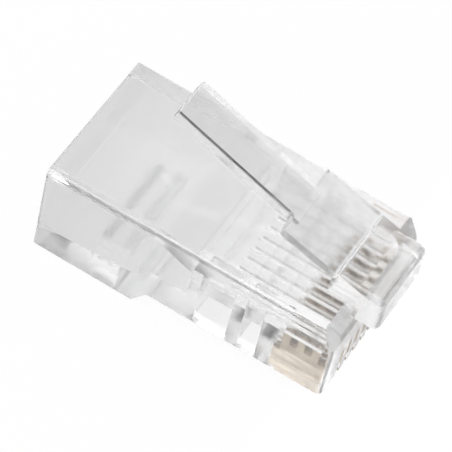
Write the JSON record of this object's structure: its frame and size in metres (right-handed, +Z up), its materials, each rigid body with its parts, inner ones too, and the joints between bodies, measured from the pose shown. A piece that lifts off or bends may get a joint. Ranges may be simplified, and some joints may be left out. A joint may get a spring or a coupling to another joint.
{
  "type": "rj45 modular plug",
  "caption": "Clear modular plug, not yet crimped, with a sprung latch, a cable cavity, a strain-relief bar and a row of gold-plated piercing contacts.",
  "frame": {"origin": "under the middle of the plug, level with the lowest face, which is the rear block's contact side", "axes": "+X from the cable end to the nose, +Y across the contacts, +Z up from the contact side to the latch"},
  "size_m": [0.0238, 0.0116, 0.0151],
  "materials": {
    "clear_plastic": "clear, moulded",
    "contact_metal": "gold-plated, stamped"
  },
  "bodies": {
    "housing": {"housing": "clear_plastic"},
    "latch": {"latch": "clear_plastic"},
    "strain_relief_bar": {"strain_relief_bar": "clear_plastic"},
    "contact_1": {"contact_1": "contact_metal"},
    "contact_2": {"contact_2": "contact_metal"},
    "contact_3": {"contact_3": "contact_metal"},
    "contact_4": {"contact_4": "contact_metal"},
    "contact_5": {"contact_5": "contact_metal"},
    "contact_6": {"contact_6": "contact_metal"},
    "contact_7": {"contact_7": "contact_metal"},
    "contact_8": {"contact_8": "contact_metal"}
  },
  "joints": [
    {"name": "latch_flex", "type": "hinge", "parent": "housing", "child": "latch", "pos_m": [0.00794, 0, 0.00997], "axis": [0, -1, 0], "range_deg": [0, 20], "stiffness_Nm_per_rad": 0.12},
    {"name": "strain_relief_fold", "type": "hinge", "parent": "housing", "child": "strain_relief_bar", "pos_m": [-0.00595, 0, 0.00165], "axis": [0, 1, 0], "range_deg": [0, 35]},
    {"name": "contact_1_crimp", "type": "slide", "parent": "housing", "child": "contact_1", "axis": [0, 0, 1], "range_m": [0, 0.00088]},
    {"name": "contact_2_crimp", "type": "slide", "parent": "housing", "child": "contact_2", "axis": [0, 0, 1], "range_m": [0, 0.00088]},
    {"name": "contact_3_crimp", "type": "slide", "parent": "housing", "child": "contact_3", "axis": [0, 0, 1], "range_m": [0, 0.00088]},
    {"name": "contact_4_crimp", "type": "slide", "parent": "housing", "child": "contact_4", "axis": [0, 0, 1], "range_m": [0, 0.00088]},
    {"name": "contact_5_crimp", "type": "slide", "parent": "housing", "child": "contact_5", "axis": [0, 0, 1], "range_m": [0, 0.00088]},
    {"name": "contact_6_crimp", "type": "slide", "parent": "housing", "child": "contact_6", "axis": [0, 0, 1], "range_m": [0, 0.00088]},
    {"name": "contact_7_crimp", "type": "slide", "parent": "housing", "child": "contact_7", "axis": [0, 0, 1], "range_m": [0, 0.00088]},
    {"name": "contact_8_crimp", "type": "slide", "parent": "housing", "child": "contact_8", "axis": [0, 0, 1], "range_m": [0, 0.00088]}
  ]
}
